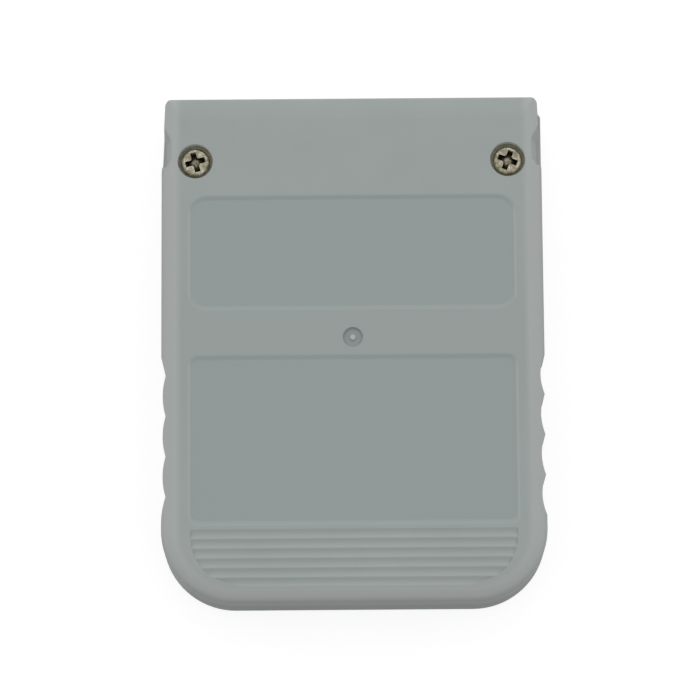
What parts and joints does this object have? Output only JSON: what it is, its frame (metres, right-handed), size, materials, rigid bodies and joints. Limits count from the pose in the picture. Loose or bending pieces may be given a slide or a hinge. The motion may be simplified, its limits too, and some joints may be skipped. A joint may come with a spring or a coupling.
{
  "type": "console memory card",
  "caption": "Flat grey console memory card in a screwed plastic case with shallow panels, grip grooves and side grips, round a circuit board with edge contacts.",
  "frame": {"origin": "on the label face that the card lies on, under the middle of the card", "axes": "+X across the card, to the right seen from the screw side; +Y to the connector end; +Z out of the screw side"},
  "size_m": [0.0424, 0.0566, 0.0078],
  "materials": {
    "case": "fine moulded texture, cool light grey",
    "screw": "nickel plated, slightly warm",
    "board": "green solder resist on glass laminate",
    "contact": "gold plated",
    "chip": "black moulding compound",
    "resin": "black resin dome",
    "resonator": "metal lid on a ceramic base",
    "capacitor": "tan ceramic with tinned ends",
    "tantalum": "ochre moulding with a polarity stripe",
    "resistor": "black glaze with tinned ends"
  },
  "bodies": {
    "root": {"rear_cover": "case", "front_cover": "case", "case_screws": "screw", "circuit_board": "board", "contact_1": "contact", "contact_2": "contact", "contact_3": "contact", "contact_4": "contact", "contact_5": "contact", "contact_6": "contact", "contact_7": "contact", "contact_8": "contact", "memory_chip": "chip", "controller_dome": "resin", "ceramic_resonator": "resonator", "ceramic_capacitor_1": "capacitor", "ceramic_capacitor_2": "capacitor", "ceramic_capacitor_3": "capacitor", "tantalum_capacitor": "tantalum", "chip_resistor_1": "resistor", "chip_resistor_2": "resistor", "chip_resistor_3": "resistor", "chip_resistor_4": "resistor", "protection_diode": "chip"}
  },
  "joints": []
}
